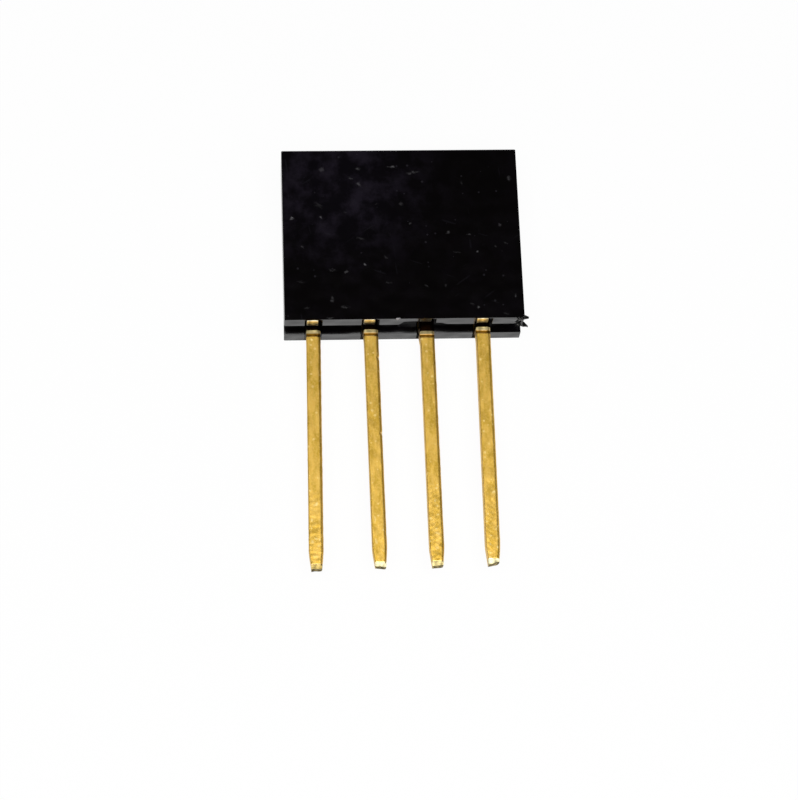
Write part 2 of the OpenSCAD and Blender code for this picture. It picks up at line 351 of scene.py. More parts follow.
def finish_piece(name, mesh, material, node, sharp_angle=35):
    """An object at the origin that stands for a node of the solid model."""
    mesh.materials.append(material)
    mesh.polygons.foreach_set("use_smooth", np.ones(len(mesh.polygons), dtype=bool))
    mesh.set_sharp_from_angle(angle=math.radians(sharp_angle))
    piece = put_object(name, mesh)
    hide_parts(node)
    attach(piece, "root")
    return piece


def waves(x, y, seed, size, count=8):
    """Smooth unevenness between about -1 and 1: a sum of sines in seeded directions.

    size is the length of the waves, in the same unit as x and y.
    """
    rng = np.random.default_rng(seed)
    angle = rng.uniform(0, 2 * np.pi, count)
    phase = rng.uniform(0, 2 * np.pi, count)
    rate = 2 * np.pi / (size * rng.uniform(0.6, 1.7, count))
    way = np.cos(angle) * rate, np.sin(angle) * rate
    total = sum(np.sin(way[0][j] * x + way[1][j] * y + phase[j]) for j in range(count))
    return total / math.sqrt(count * 2)


def smooth_step(t):
    """0 below 0, 1 above 1, and an even S between."""
    t = np.clip(t, 0, 1)
    return t * t * (3 - 2 * t)


# %% [markdown]
# ## Tails
#
# On the real part a tail is the strip folded double and squared up. The fold is on the right,
# so both right edges are round, and the seam between the two layers runs down the left side
# between crisp edges. Near the housing the layers part over a thin neck. The shears leave a lip
# and a groove just under it. The tip narrows, has a bevel in front, and ends where it was cut.
#
# A profile carried down the tail gives all of this: the profile is one ring of points, and a
# few formulas of the height say how it thins, widens and shifts at each station.

# %% Sizes of the contacts, in millimetres
PITCH = 2.54
PIN = 0.64
FOLD_R = 0.15
SEAM_EDGE_R = 0.04
SEAM_DEPTH = 0.07
SEAM_WIDTH = 0.03
TAIL_TOP = 0.52
TAIL_LENGTHS = [11.16, 11.11, 11.11, 11.05]
LEANS = [-0.58, 0.41, 0.19, -0.26]
ROOT_SHIFTS = [0.0, 0.04, 0.03, 0.02]
FOOT_LIFTS = [0.0, 0.03, 0.13, 0.03]
LIP_DEPTHS = [0.15, 0.14, 0.24, 0.08]
END_SLOPES = [2, -4, 3, 13]
SPUR_WIDTHS = [0.01, 0.02, 0.05, 0.03]
NECK_HALF = 0.15
LIP_OUT = 0.06
LIP_H = 0.16
GROOVE_D = 0.04
GROOVE_H = 0.16
TAPER_LENGTH = 1.0
TAPER_LEFT = 0.10
TAPER_RIGHT = 0.07
TAPER_STRETCH = 1.35
TAPER_GAIN = 1.25
BEVEL_FRONT = 0.19
BEVEL_REAR = 0.06
SLOPE_REACH = 0.6
RAGGED = 0.02
RAGGED_REACH = 0.12
END_HOLLOW = 0.012
END_ROUGH = 0.008
NICKS = [(1, -1.46), (1, -5.01)]
NICK_DEPTH = 0.05
NICK_HALF = 0.07
FACE_BUMPS = 0.003
FACE_LUMPS = 0.0035
SIDE_WAVES = 0.007
ROOT_REACH = 0.4
TIP_REACH = 1.1

contact_x = (np.arange(len(CONTACTS)) - 1.5) * PITCH
print("contacts at x, mm:", contact_x)


# %% Profile of a tail


def arc(x, z, radius, start, end, count):
    """Points of an arc about (x, z), angles in degrees, measured from +X towards +Z."""
    a = np.radians(np.linspace(start, end, count))
    return np.stack([x + radius * np.cos(a), z + radius * np.sin(a)], axis=-1)


def tail_profile():
    """One ring of (x, z) points: fold side, front face, seam side with its groove, rear face."""
    h = PIN / 2
    across_front = np.linspace(h - FOLD_R, -h + SEAM_EDGE_R, 12)[1:-1]
    seam_z = np.array([0.22, 0.12, SEAM_WIDTH, SEAM_WIDTH * 0.5, 0.0])
    seam_x = np.array([-h, -h, -h, -h + SEAM_DEPTH * 0.6, -h + SEAM_DEPTH])
    upper = np.concatenate(
        [
            np.stack([np.full(2, h), np.array([0.0, 0.09])], axis=-1),
            arc(h - FOLD_R, h - FOLD_R, FOLD_R, 0, 90, 9),
            np.stack([across_front, np.full(len(across_front), h)], axis=-1),
            arc(-h + SEAM_EDGE_R, h - SEAM_EDGE_R, SEAM_EDGE_R, 90, 180, 5),
            np.stack([seam_x, seam_z], axis=-1),
        ]
    )
    lower = upper[1:-1][::-1] * np.array([1, -1])
    return np.concatenate([upper, lower])


profile = tail_profile()
print("points in a tail's profile:", len(profile))


# %% Tail surface


def tail_stations(i):
    """Heights of the rings: close together at the lip, the groove and the tip."""
    lip, length = -LIP_DEPTHS[i], TAIL_LENGTHS[i]
    neck = np.linspace(TAIL_TOP, lip + 0.005, 6)
    root = np.linspace(lip, lip - ROOT_REACH, 41)
    shaft = np.linspace(lip - ROOT_REACH, -length + TIP_REACH, 170)[1:]
    tip = np.linspace(-length + TIP_REACH, -length, 56)[1:]
    return np.concatenate([neck, root, shaft, tip])


def half_thickness(i, y):
    """Half the tail's thickness at height y: neck, lip, groove, then the shaft.

    It is read off straight lines between places, which are measured down from the lip's top.
    """
    h = PIN / 2
    down = -LIP_DEPTHS[i] - y
    places = [-0.004, 0, 0.015, LIP_H - 0.02, LIP_H, LIP_H + 0.02, LIP_H + GROOVE_H]
    deep = h - GROOVE_D
    halves = [NECK_HALF, h + LIP_OUT * 0.8, h + LIP_OUT, deep + 0.008, deep, deep + 0.002, h]
    return np.interp(down, places, halves)


def tail_rings(i):
    """The tail of contact i as an array of rings (stations, ring, 3), in millimetres.

    Each ring is the profile, changed by these formulas of its height y and of x and z:
    the neck is the profile pressed thin; at the lip and the groove the front and rear faces
    move out and in; the sides narrow along the tip by the first part of a smooth S; the
    front and rear are held back by the bevels; a spur stands out beside the lip; small
    waves raise and lower the faces and the sides; a nick is a dent shaped like a bell; the
    last rings slope with the sheared end and are ragged there; and x follows the lean.
    """
    length = TAIL_LENGTHS[i]
    y = tail_stations(i)[:, None]
    x = np.broadcast_to(profile[:, 0], (len(y), len(profile))).copy()
    z = np.broadcast_to(profile[:, 1], x.shape).copy()
    h = PIN / 2

    along_tip = (-y - (length - TAPER_LENGTH)) / (TAPER_LENGTH * TAPER_STRETCH)
    along_tip = smooth_step(along_tip) * TAPER_GAIN
    x = x + along_tip * np.where(x < 0, TAPER_LEFT, -TAPER_RIGHT) * np.abs(x) / h

    face = smooth_step((np.abs(z) - 0.1) / (h - 0.12))
    half = half_thickness(i, y)
    z = np.where(half < 0.8 * h, z * half / h, z + np.sign(z) * face * (half - h))

    from_end = length + y
    front_limit = h - np.clip(BEVEL_FRONT - from_end, 0, BEVEL_FRONT)
    rear_limit = -h + np.clip(BEVEL_REAR - from_end, 0, BEVEL_REAR)
    z = np.where(from_end < BEVEL_FRONT, np.clip(z, rear_limit, front_limit), z)

    down = -LIP_DEPTHS[i] - y
    spur_places = [0, LIP_H / 2, LIP_H, LIP_H * 2 + GROOVE_H]
    spur = SPUR_WIDTHS[i] * np.interp(down, spur_places, [0, 1, 1, 0])
    x = x - spur * smooth_step((-x - 0.2) / 0.1) * (np.abs(z) > SEAM_WIDTH * 0.6)

    calm = smooth_step((-y - 0.1) / 0.5)
    bumps = waves(x * 1.6, y * 0.6, 11 + i, 0.45) * FACE_BUMPS
    lumps = waves(x, y, 51 + i, 0.3) * FACE_LUMPS * smooth_step((-y - 5) / 5)
    z = z + np.sign(z) * face * calm * (bumps + lumps)
    x = x + np.sign(x) * (1 - face) * calm * waves(z, y, 71 + i, 0.5) * SIDE_WAVES

    for contact, place in NICKS:
        if contact == i:
            dent = NICK_DEPTH * np.exp(-(((y - place) / NICK_HALF) ** 2))
            x = x - dent * smooth_step((x - 0.12) / 0.15) * (z > 0)

    slope = math.tan(math.radians(END_SLOPES[i]))
    near_end = smooth_step(1 - from_end / SLOPE_REACH)
    ragged = smooth_step(1 - from_end / RAGGED_REACH) * (waves(x, z, 41 + i, 0.3) - 0.6) * RAGGED
    y_full = np.broadcast_to(y, x.shape) + near_end * slope * x - ragged
    lean = math.tan(math.radians(LEANS[i]))
    x = x + contact_x[i] + ROOT_SHIFTS[i] - lean * y_full
    return np.stack([x, y_full, z], axis=-1)


def sheared_end(rings, seed):
    """Three smaller rings across the sheared end, which is a little hollow and rough."""
    last = rings[-1]
    middle = last.mean(axis=0)
    rng = np.random.default_rng(seed)
    steps = np.array([0.82, 0.55, 0.25])[:, None, None]
    inner = middle + (last - middle) * steps
    inner[..., 1] += END_HOLLOW + rng.uniform(-END_ROUGH, END_ROUGH, inner.shape[:2])
    return np.concatenate([rings, inner])


# %% [markdown]
# ## Feet, legs and springs
#
# Inside the housing the two layers part. Each goes forward over a short bridge, turns down to
# the seating plane, and is pressed there into a flat foot. This is the pale patch that shows in
# each notch of the rail. From the foot a leg stands against the wall, two barbs hold it, and a
# curved spring closes towards the middle and flares out again under the mouth.
#
# A strip like this is drawn as two lines side by side, its left face and its right face. Both
# have the same number of points, and a thin rounded ring joins each pair.

# %% Sizes of the springs, in millimetres
SHEET = 0.2
STRIP_W = 0.52
TIP_W = 0.4
SEAM_INSET = 0.01
FOOT_RISE = 0.02
FOOT_FILL = 0.8
FLARE_W = 0.18
FLARE_H = 0.5
FOOT_H = 0.35
FOOT_R = 0.1
SLOT_W = 0.11
SLOT_H = 0.3
LEG_OUT = 0.98
LEG_H = 1.9
TOUCH_Z = 0.31
SPRING_TOP = 7.1
FLARED_END = 0.9
FLARE_OUT = 0.34
BARB_Y = 1.15
BARB_L = 0.45
BARB_HALF = 0.37
BARB_RINGS = [1.14, 1.15, 1.3, 1.45, 1.6, 1.75]
BRIDGE_START = 0.1
LEG_START = 1.0
CORNER_CUT = 0.03
PRESSED = 0.006
PRESSED_TOP = 0.5


# %% Side view of a strip


def rounded_line(corners, radii, count=5):
    """A line with each corner rounded: between the two points where the rounding starts and
    ends it follows (1-t)^2 a + 2t(1-t) corner + t^2 b. The first and last corners stay."""
    p = np.asarray(corners, dtype=float)
    r = np.asarray(radii, dtype=float)[:, None]
    back = p[:-2] - p[1:-1]
    ahead = p[2:] - p[1:-1]
    a = p[1:-1] + back / np.linalg.norm(back, axis=1, keepdims=True) * r
    b = p[1:-1] + ahead / np.linalg.norm(ahead, axis=1, keepdims=True) * r
    t = np.linspace(0, 1, count)[None, :, None]
    bends = (1 - t) ** 2 * a[:, None] + 2 * t * (1 - t) * p[1:-1][:, None] + t**2 * b[:, None]
    return np.concatenate([p[:1], bends.reshape(-1, 2), p[-1:]])


def spring_lines():
    """The two faces of a spring as (z, y) lines, either side of its middle line.

    The middle line closes in an even S from the leg to the point of touch, then flares
    out with the square of the way to its end.
    """
    middle_leg = LEG_OUT - SHEET / 2
    touch_y = SPRING_TOP - FLARED_END
    t = np.linspace(0, 1, 26)[1:]
    closing = np.stack(
        [middle_leg + (TOUCH_Z - middle_leg) * smooth_step(t), LEG_H + (touch_y - LEG_H) * t], -1
    )
    u = np.linspace(0, 1, 9)[1:]
    flare = np.stack([TOUCH_Z + FLARE_OUT * u**2, touch_y + FLARED_END * u], -1)
    line = np.concatenate([[[middle_leg, LEG_H]], closing, flare])
    way = np.gradient(line, axis=0)
    way /= np.linalg.norm(way, axis=1, keepdims=True)
    across = np.stack([-way[:, 1], way[:, 0]], -1) * SHEET / 2
    return line + across, line - across


def strip_lines(i):
    """Both faces of contact i's front strip, from its bridge to the end of its spring."""
    low = FOOT_RISE + FOOT_LIFTS[i]
    bridge = FOOT_RISE + SLOT_H
    inner = PIN / 2 + SLOT_W
    out = LEG_OUT + FOOT_FILL * FLARE_W * (1 - (low + SHEET) / FLARE_H)
    leg_in = LEG_OUT - SHEET
    left = rounded_line(
        [
            (BRIDGE_START, bridge + SHEET), (inner + SHEET, bridge + SHEET),
            (inner + SHEET, low + SHEET), (leg_in, low + SHEET),
            (leg_in, low + FOOT_H * 0.75), (leg_in, low + FOOT_H), (leg_in, LEG_START),
        ],
        [0.08, 0.02, 0.02, 0.02, 0.02],
    )
    right = rounded_line(
        [
            (BRIDGE_START, bridge), (inner, bridge), (inner, low), (out, low),
            (out, low + SHEET), (LEG_OUT, low + FOOT_H), (LEG_OUT, LEG_START),
        ],
        [0.02, FOOT_R, FOOT_R, 0.04, 0.04],
    )
    spring_left, spring_right = spring_lines()
    barb_left = [(leg_in, y) for y in BARB_RINGS]
    barb_right = [(LEG_OUT, y) for y in BARB_RINGS]
    left = np.concatenate([left, barb_left, spring_left])
    right = np.concatenate([right, barb_right, spring_right])
    return left, right


# %% Surface of a strip


def strip_rings(i, front):
    """Rings of contact i's front or rear strip, in millimetres.

    Ring point k sits at share u of the way from the strip's left edge to its right edge
    and at share v from one face to the other, with its corners cut back a little.
    """
    left, right = strip_lines(i)
    y = (left[:, 1] + right[:, 1]) / 2
    touch_y = SPRING_TOP - FLARED_END
    half = np.interp(y, [LEG_H, touch_y], [STRIP_W / 2, TIP_W / 2])
    middle = -PIN / 2 + SEAM_INSET + STRIP_W / 2
    barb = np.interp(y, [BARB_Y - 0.005, BARB_Y, BARB_Y + BARB_L], [0, 1, 0])
    low_x = middle - half
    high_x = middle + half
    low_x = low_x + (-BARB_HALF - low_x) * barb
    high_x = high_x + (BARB_HALF - high_x) * barb
    across = [CORNER_CUT, 0.25, 0.5, 0.75, 1 - CORNER_CUT]
    u = np.array([0, 0, *across, 1, 1, *across[::-1]])
    v = np.array([0.88, 0.12, 0, 0, 0, 0, 0, 0.12, 0.88, 1, 1, 1, 1, 1])
    x = low_x[:, None] + (high_x - low_x)[:, None] * u
    zy = right[:, None] + (left - right)[:, None] * v[:, None]
    z = zy[..., 0] if front else -zy[..., 0]
    height = zy[..., 1]
    pressed = waves(x, z + height, 91 + i, 0.25) * PRESSED
    return np.stack([x + contact_x[i], height + pressed * (height < PRESSED_TOP), z], axis=-1)


# %% [markdown]
# ## Zones of a contact
#
# Some places of a contact have their own colour and roughness. The feet and the bevel of the tip
# are painted pale, a painted highlight for the bright reflections there, and the lip is painted a
# dimmer, paler gold, a painted shade. The groove, the neck, the bridge and the rear foot are
# painted dark, a painted shade for the crease under the lip and the shadow deep in the channel.
# The end was sheared after plating, so bare metal shows there in patches. The lip, the groove and
# the bevel are painted lighter and darker on each contact, to how bright each shows there. Each
# point keeps the colour and the roughness of its zone, for the finish.

# %% Zones
ZONES = {
    # Painted highlight: the feet are painted pale for the bright reflection in each notch.
    "foot": ((0.82, 0.76, 0.55), 0.3),
    # Painted shade: the rear foot, the bridge and the neck are painted near black for the shadow
    # deep in the channel.
    "rear foot": ((0.08, 0.04, 0.006), 0.5),
    "bridge": ((0.005, 0.002, 0.0007), 0.5),
    "neck": ((0.005, 0.002, 0.0007), 0.4),
    # Painted shade: the lip is painted a dimmer, paler gold.
    "lip": ((0.5, 0.41, 0.2), 0.35),
    # Painted shade: the groove's dark brown stands in for the shade in the crease under the lip.
    "groove": ((0.17, 0.085, 0.01), 0.5),
    # Painted highlight: the bevel's pale colour, different on each contact, comes from the table
    # below.
    "bevel": ((1.0, 1.0, 1.0), 0.3),
    "sheared": ((0.16, 0.13, 0.065), 0.8),
}
# What each contact multiplies a zone's colour by: one number, or red, green and blue.
# These are painted light and shade, set to how bright the lip, the groove and the bevel show on
# each contact.
PAINTED_LIGHT_AND_SHADE = {
    "lip": [1.0, 1.0, 0.6, 1.05],
    "groove": [1.0, 1.6, 1.9, 1.5],
    "bevel": [(0.46, 0.34, 0.11), (0.74, 0.67, 0.39), (0.58, 0.48, 0.21), (0.74, 0.67, 0.39)],
}
BRIDGE_TOP = 0.6
BRIDGE_SLACK = 0.02
LIP_START = -0.002
GROOVE_START = LIP_H - 0.03
UNEVEN = 0.4
UNEVEN_SIZE = 0.22
PATCH_LOW = 0.6
PATCH_GAIN = 2.6
PATCH_SIZE = 0.3
print("zones with their own look:", ", ".join(ZONES))


def zone_masks(i, points, tail_count):
    """Which points of contact i lie in each zone. points are in millimetres."""
    y, z = points[:, 1], points[:, 2]
    number = np.arange(len(points))
    tail = number < tail_count
    down = -LIP_DEPTHS[i] - y
    last_ring = (len(tail_stations(i)) - 1) * len(profile)
    foot = ~tail & (y < FOOT_RISE + FOOT_LIFTS[i] + SHEET) & (np.abs(z) > PIN / 2 + SLOT_W)
    return {
        "foot": foot & (z > 0),
        "rear foot": foot & (z < 0),
        "bridge": ~tail & (y < BRIDGE_TOP) & (np.abs(z) < PIN / 2 + SLOT_W + BRIDGE_SLACK),
        "neck": tail & (down < LIP_START),
        "lip": tail & (down > LIP_START) & (down < GROOVE_START),
        "groove": tail & (down > GROOVE_START) & (down < LIP_H + GROOVE_H * 0.8),
        "bevel": tail & (y + TAIL_LENGTHS[i] < BEVEL_FRONT) & (z > 0),
        "sheared": tail & (number >= last_ring),
    }


def store_zones(mesh, i, points, tail_count):
    """Keeps each point's zone colour, zone roughness, and 1 or 0 for in a zone or not.

    The colours are made uneven: in patches on the sheared end, and gently elsewhere.
    """
    colour = np.ones((len(points), 4))
    rough = np.zeros(len(points))
    share = np.zeros(len(points))
    masks = zone_masks(i, points, tail_count)
    for name, mask in masks.items():
        colour[mask, :3], rough[mask] = ZONES[name]
        if name in PAINTED_LIGHT_AND_SHADE:
            colour[mask, :3] *= PAINTED_LIGHT_AND_SHADE[name][i]
        share[mask] = 1
    x, y, z = points.T
    uneven = 1 + UNEVEN * waves(x, y * 0.5, 61 + i, UNEVEN_SIZE)
    patchy = PATCH_LOW + PATCH_GAIN * np.clip(0.3 + waves(x, z, 31 + i, PATCH_SIZE), 0, 1)
    uneven = np.where(masks["sheared"], patchy, uneven)
    colour[:, :3] = np.clip(colour[:, :3] * uneven[:, None], 0, 1)
    for name, kind, field, values in (
        ("zone_colour", "FLOAT_COLOR", "color", colour),
        ("zone_roughness", "FLOAT", "value", rough),
        ("zone", "FLOAT", "value", share),
    ):
        mesh.attributes.new(name, kind, "POINT").data.foreach_set(field, values.ravel())


# %% Contacts


def make_contact(i, material):
    """Tail and two strips of contact i, joined in one mesh."""
    parts = [
        loft(sheared_end(tail_rings(i), 5 + i) * MM),
        loft(strip_rings(i, True) * MM),
        loft(strip_rings(i, False) * MM),
    ]
    points, quads, triangles, volume = joined(parts)
    mesh = put_mesh("contact_strip_%d" % (i + 1), points, quads, triangles)
    store_zones(mesh, i, points / MM, len(parts[0][0]))
    piece = finish_piece(mesh.name, mesh, material, CONTACTS[i])
    print(piece.name, "faces", len(mesh.polygons), "mm3", round(volume / MM**3, 2))


# %% [markdown]
# ## Housing
#
# The housing is one moulding. Its shape is the solid model's own, so a copy of that mesh is
# merged and cleaned of needless edges. A real moulding has no perfectly sharp edge: the long
# edges are broken by two hundredths of a millimetre, which is enough to catch a thin line of
# light. The end where the strip was cut off is sawn, so its face is a little uneven, and its
# lower corner is torn, with a crumbly face and two burrs. The front rail's inner edge has a
# shallow hollow on both sides of contact 3.
#
# All of this is done by slicing some of the copy's faces finely and moving the new corners.

# %% Sizes of the housing, in millimetres
CUT_END = 5.61
EDGE_BREAK = 0.02
SHORT_EDGE = 0.3
MOUTH_DEPTH = 1.3
MOUTH_HALF = 0.8
INNER_HALF = 1.2
END_HALF = 4.9
FRONT_RAIL = 0.72
SAWN_STEP = 0.16
SAWN_DEPTH = 0.014
HOLLOW_STEP = 0.07
EDGE_HOLLOWS = [
    (0.0, 0.0), (0.1, 0.12), (0.2, 0.33), (0.5, 0.38), (0.9, 0.4),
    (1.65, 0.18), (1.95, 0.16), (2.08, 0.06), (2.2, 0.0),
]
EDGE_REACH = 0.05
EDGE_BELOW = 0.03
EDGE_ABOVE = 0.07
TORN_STEP = 0.06
TORN_DEPTH = 0.012
TORN_TOP = 0.15
PAST_CUT = 0.005
KEEP_CLEAR = 0.6
SQUARE = 0.9995
FACING = 0.99
SAME_PLACE = 1e-7


# %% Broken edges


def broken_edges(bm, right):
    """The long outside edges of the housing, away from the torn corner and the sockets."""
    chosen = []
    for edge in bm.edges:
        if len(edge.link_faces) != 2 or edge.calc_length() < SHORT_EDGE * MM:
            continue
        a, b = (v.co for v in edge.verts)
        middle = (a + b) / 2
        torn = max(a.x, b.x) > right - KEEP_CLEAR * MM and min(a.y, b.y) < KEEP_CLEAR * MM
        mouth = middle.y > block_high[1] - MOUTH_DEPTH * MM and abs(middle.z) < MOUTH_HALF * MM
        deep = 0.5 * MM < middle.y < block_high[1] - 0.1 * MM
        inside = deep and abs(middle.z) < INNER_HALF * MM
        on_end = min(abs(a.x), abs(b.x)) > END_HALF * MM
        sharp = edge.calc_face_angle_signed() > math.radians(30)
        if sharp and (on_end or not inside) and not (torn or mouth):
            chosen.append(edge)
    return chosen


# %% Sawn end


def slice_faces(bm, faces, axis, place):
    """Cuts the faces along the plane where one coordinate (axis 0, 1 or 2) is place."""
    edges = {e for f in faces for e in f.edges}
    corners = {v for f in faces for v in f.verts}
    point, normal = [0, 0, 0], [0, 0, 0]
    point[axis], normal[axis] = place, 1
    geometry = [*faces, *edges, *corners]
    bmesh.ops.bisect_plane(bm, geom=geometry, plane_co=point, plane_no=normal)


def saw_end(bm, x, depth):
    """Slices the flat end face into small squares and presses their corners in unevenly."""
    def on_end(face):
        return face.normal.x > FACING and face.calc_center_median().x > x - 10 * SAME_PLACE

    for axis, low, high in ((1, 0.0, block_high[1]), (2, block_low[2], block_high[2])):
        for place in np.arange(low + SAWN_STEP * MM, high, SAWN_STEP * MM):
            slice_faces(bm, [f for f in bm.faces if on_end(f)], axis, place)
    inner = [
        v for v in bm.verts
        if abs(v.co.x - x) < SAME_PLACE and all(f.normal.x > FACING for f in v.link_faces)
    ]
    y, z = np.array([(v.co.y / MM, v.co.z / MM) for v in inner]).T
    press = waves(y, z, 7, 0.5) + 0.7 * waves(y * 3, z, 8, 0.9)
    for v, amount in zip(inner, press):
        v.co.x -= depth * MM * min(max(amount * 0.5 + 0.5, 0), 1)
    return len(inner)


# %% Hollow in the front rail


def hollow_edge(bm, inner_z):
    """Slices the front rail along its inner edge and moves that edge in, by EDGE_HOLLOWS."""
    places, depths = np.array(EDGE_HOLLOWS).T * MM
    step = HOLLOW_STEP * MM

    def on_edge(v):
        if not places[0] - step < v.co.x < places[-1] + step or v.co.y >= EDGE_REACH * MM:
            return False
        return -EDGE_BELOW * MM < v.co.z - inner_z < EDGE_ABOVE * MM

    for place in np.arange(places[0], places[-1], step):
        slice_faces(bm, {f for v in bm.verts if on_edge(v) for f in v.link_faces}, 0, place)
    moved = [v for v in bm.verts if on_edge(v)]
    for v in moved:
        v.co.z += float(np.interp(v.co.x, places, depths))
    return len(moved)


# %% Torn corner


def torn_faces(bm, right):
    """Faces of the torn patch and the burrs: in front near the cut corner, and not square."""
    found = []
    for face in bm.faces:
        x, y, z = face.calc_center_median()
        square = max(abs(c) for c in face.normal) > SQUARE
        near = x > right - KEEP_CLEAR * MM and y < TORN_TOP * MM and z > 0
        if x > right + PAST_CUT * MM or (near and not square):
            found.append(face)
    return found


def tear(bm, right):
    """Slices the torn faces finely and moves the new corners by small seeded steps."""
    for axis in (0, 1, 2):
        reached = [v.co[axis] for f in torn_faces(bm, right) for v in f.verts]
        for place in np.arange(min(reached) + TORN_STEP * MM, max(reached), TORN_STEP * MM):
            slice_faces(bm, torn_faces(bm, right), axis, place)
    torn = set(torn_faces(bm, right))
    inner = [v for v in bm.verts if v.link_faces and all(f in torn for f in v.link_faces)]
    steps = np.random.default_rng(3).uniform(-TORN_DEPTH, TORN_DEPTH, (len(inner), 3)) * MM
    for v, step in zip(inner, steps):
        v.co += Vector(step)
    return torn


# %% Housing
HOUSING_SHARP = 6


def make_housing(material, torn_material):
    """A merged copy of the solid housing with broken edges, a sawn end and a torn corner."""
    bm = bmesh.new()
    bm.from_mesh(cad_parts["housing"].data)
    bmesh.ops.remove_doubles(bm, verts=bm.verts, dist=SAME_PLACE)
    bmesh.ops.dissolve_limit(bm, angle_limit=math.radians(1), verts=bm.verts, edges=bm.edges)
    right = CUT_END * MM
    chosen = broken_edges(bm, right)
    bmesh.ops.bevel(
        bm, geom=chosen, offset=EDGE_BREAK * MM, offset_type="OFFSET", segments=2,
        profile=0.5, affect="EDGES", clamp_overlap=False,
    )
    pressed = saw_end(bm, right, SAWN_DEPTH)
    hollowed = hollow_edge(bm, block_high[2] - FRONT_RAIL * MM)
    torn = tear(bm, right)
    for face in torn:
        face.material_index = 1
    bmesh.ops.triangulate(bm, faces=[f for f in bm.faces if len(f.verts) > 4])
    mesh = bpy.data.meshes.new("moulded_housing")
    bm.to_mesh(mesh)
    bm.free()
    print("edges broken:", len(chosen), "points pressed:", pressed, "points hollowed:", hollowed)
    finish_piece(mesh.name, mesh, material, "housing", sharp_angle=HOUSING_SHARP)
    mesh.materials.append(torn_material)


# %% [markdown]
# ## Finishes
#
# Both finishes need the same small effects: cloudy patches, specks and fine scratches. Each is
# a node group that turns a position in millimetres into a mask between 0 and 1. The groups are
# built once, and each material places them with its own values.

# %% Colour, noise and group helpers


def mix_node(tree, amount, first, second, kind="RGBA"):
    """A colour between two colours, or with kind FLOAT a number between two numbers."""
    node = tree.nodes.new("ShaderNodeMix")
    node.data_type = kind
    link_in(tree, node.inputs["Factor"], amount)
    link_in(tree, node.inputs["A"], first)
    link_in(tree, node.inputs["B"], second)
    return node.outputs["Result"]


def noise_node(tree, position, scale, detail=2.0, roughness=0.5, output="Fac"):
    """A noise texture's value at a position, or its colour."""
    return new_node(
        tree, "ShaderNodeTexNoise", Vector=position, Scale=scale, Detail=detail, Roughness=roughness
    ).outputs[output]


def turned(tree, position, angles=(0, 0, 0), scale=(1, 1, 1), place=(0, 0, 0)):
    """The position, turned, stretched and shifted by a Mapping node."""
    angles = [math.radians(a) for a in angles]
    return new_node(
        tree, "ShaderNodeMapping", Vector=position, Rotation=angles, Scale=scale, Location=place
    ).outputs["Vector"]


def millimetres(tree):
    """The position on the piece in millimetres."""
    coords = tree.nodes.new("ShaderNodeTexCoord")
    return turned(tree, coords.outputs["Object"], scale=(1000, 1000, 1000))


def put_bump(tree, shader, height, strength, distance):
    """Bends the shader's normals by a height. distance is in millimetres."""
    bump = new_node(
        tree, "ShaderNodeBump", Strength=strength, Distance=distance * MM, Height=height
    )
    tree.links.new(bump.outputs["Normal"], shader.inputs["Normal"])


def new_group(name, **inputs):
    """An empty node group, its given values and the socket for its mask.

    An input whose value is None is a vector, and the others are numbers. _ in a name
    stands for a space, here and in place_group.
    """
    group = bpy.data.node_groups.new(name, "ShaderNodeTree")
    for label, value in inputs.items():
        kind = "NodeSocketVector" if value is None else "NodeSocketFloat"
        label = label.replace("_", " ")
        socket = group.interface.new_socket(name=label, in_out="INPUT", socket_type=kind)
        if value is not None:
            socket.default_value = value
    group.interface.new_socket(name="Mask", in_out="OUTPUT", socket_type="NodeSocketFloat")
    given = group.nodes.new("NodeGroupInput").outputs
    return group, given, group.nodes.new("NodeGroupOutput").inputs["Mask"]


def place_group(tree, group, **values):
    """The group in a material, with its inputs set by name."""
    node = tree.nodes.new("ShaderNodeGroup")
    node.node_tree = group
    for name, value in values.items():
        link_in(tree, node.inputs[name.replace("_", " ")], value)
    return node.outputs[0]


# %% Cloudy patches


def cloudy_group():
    """Soft patches: noise of a given patch size, cut between two levels."""
    group, given, out = new_group(
        "cloudy_patches", Position=None, Patch_Size=1.0, Low=0.45, High=0.7
    )
    scale = math_node(group, "DIVIDE", 1.0, given["Patch Size"])
    value = noise_node(group, given["Position"], scale, detail=4.0, roughness=0.6)
    group.links.new(step_node(group, value, given["Low"], given["High"]), out)
    return group


cloudy = cloudy_group()

# %% Specks


def speck_group():
    """Small specks: the middles of random cells, kept only in a share of the cells."""
    group, given, out = new_group("specks", Position=None, Spacing=0.4, Radius=0.05, Share=0.3)
    scale = math_node(group, "DIVIDE", 1.0, given["Spacing"])
    cells = new_node(group, "ShaderNodeTexVoronoi", Vector=given["Position"], Scale=scale)
    split = new_node(group, "ShaderNodeSeparateColor", Color=cells.outputs["Color"])
    kept = math_node(group, "LESS_THAN", split.outputs[0], given["Share"])
    size = math_node(group, "MULTIPLY", given["Radius"], scale)
    size = math_node(group, "MULTIPLY", size, math_node(group, "ADD", split.outputs[1], 0.4))
    near = math_node(group, "SUBTRACT", size, cells.outputs["Distance"])
    near = math_node(group, "DIVIDE", near, math_node(group, "MULTIPLY", size, 0.5), clamp=True)
    group.links.new(math_node(group, "MULTIPLY", near, kept), out)
    return group


specks = speck_group()

# %% Fine scratches


def scratch_group():
    """Fine straight marks: noise stretched a long way in one direction, cut near its top."""
    group, given, out = new_group("fine_scratches", Position=None, Fineness=8.0, Level=0.66)
    level, position = given["Level"], given["Position"]
    total = None
    for angle, place in ((18, 0), (-37, 5), (82, 9)):
        drawn = turned(group, position, angles=(0, 0, angle), place=(place, place, 0))
        drawn = turned(group, drawn, scale=(0.12, 1, 1))
        value = noise_node(group, drawn, given["Fineness"], detail=1.0)
        mask = step_node(group, value, level, math_node(group, "ADD", level, 0.04))
        total = mask if total is None else math_node(group, "MAXIMUM", total, mask)
    group.links.new(total, out)
    return group


scratches = scratch_group()

# %% Single marks
MARK_CORE = 0.15


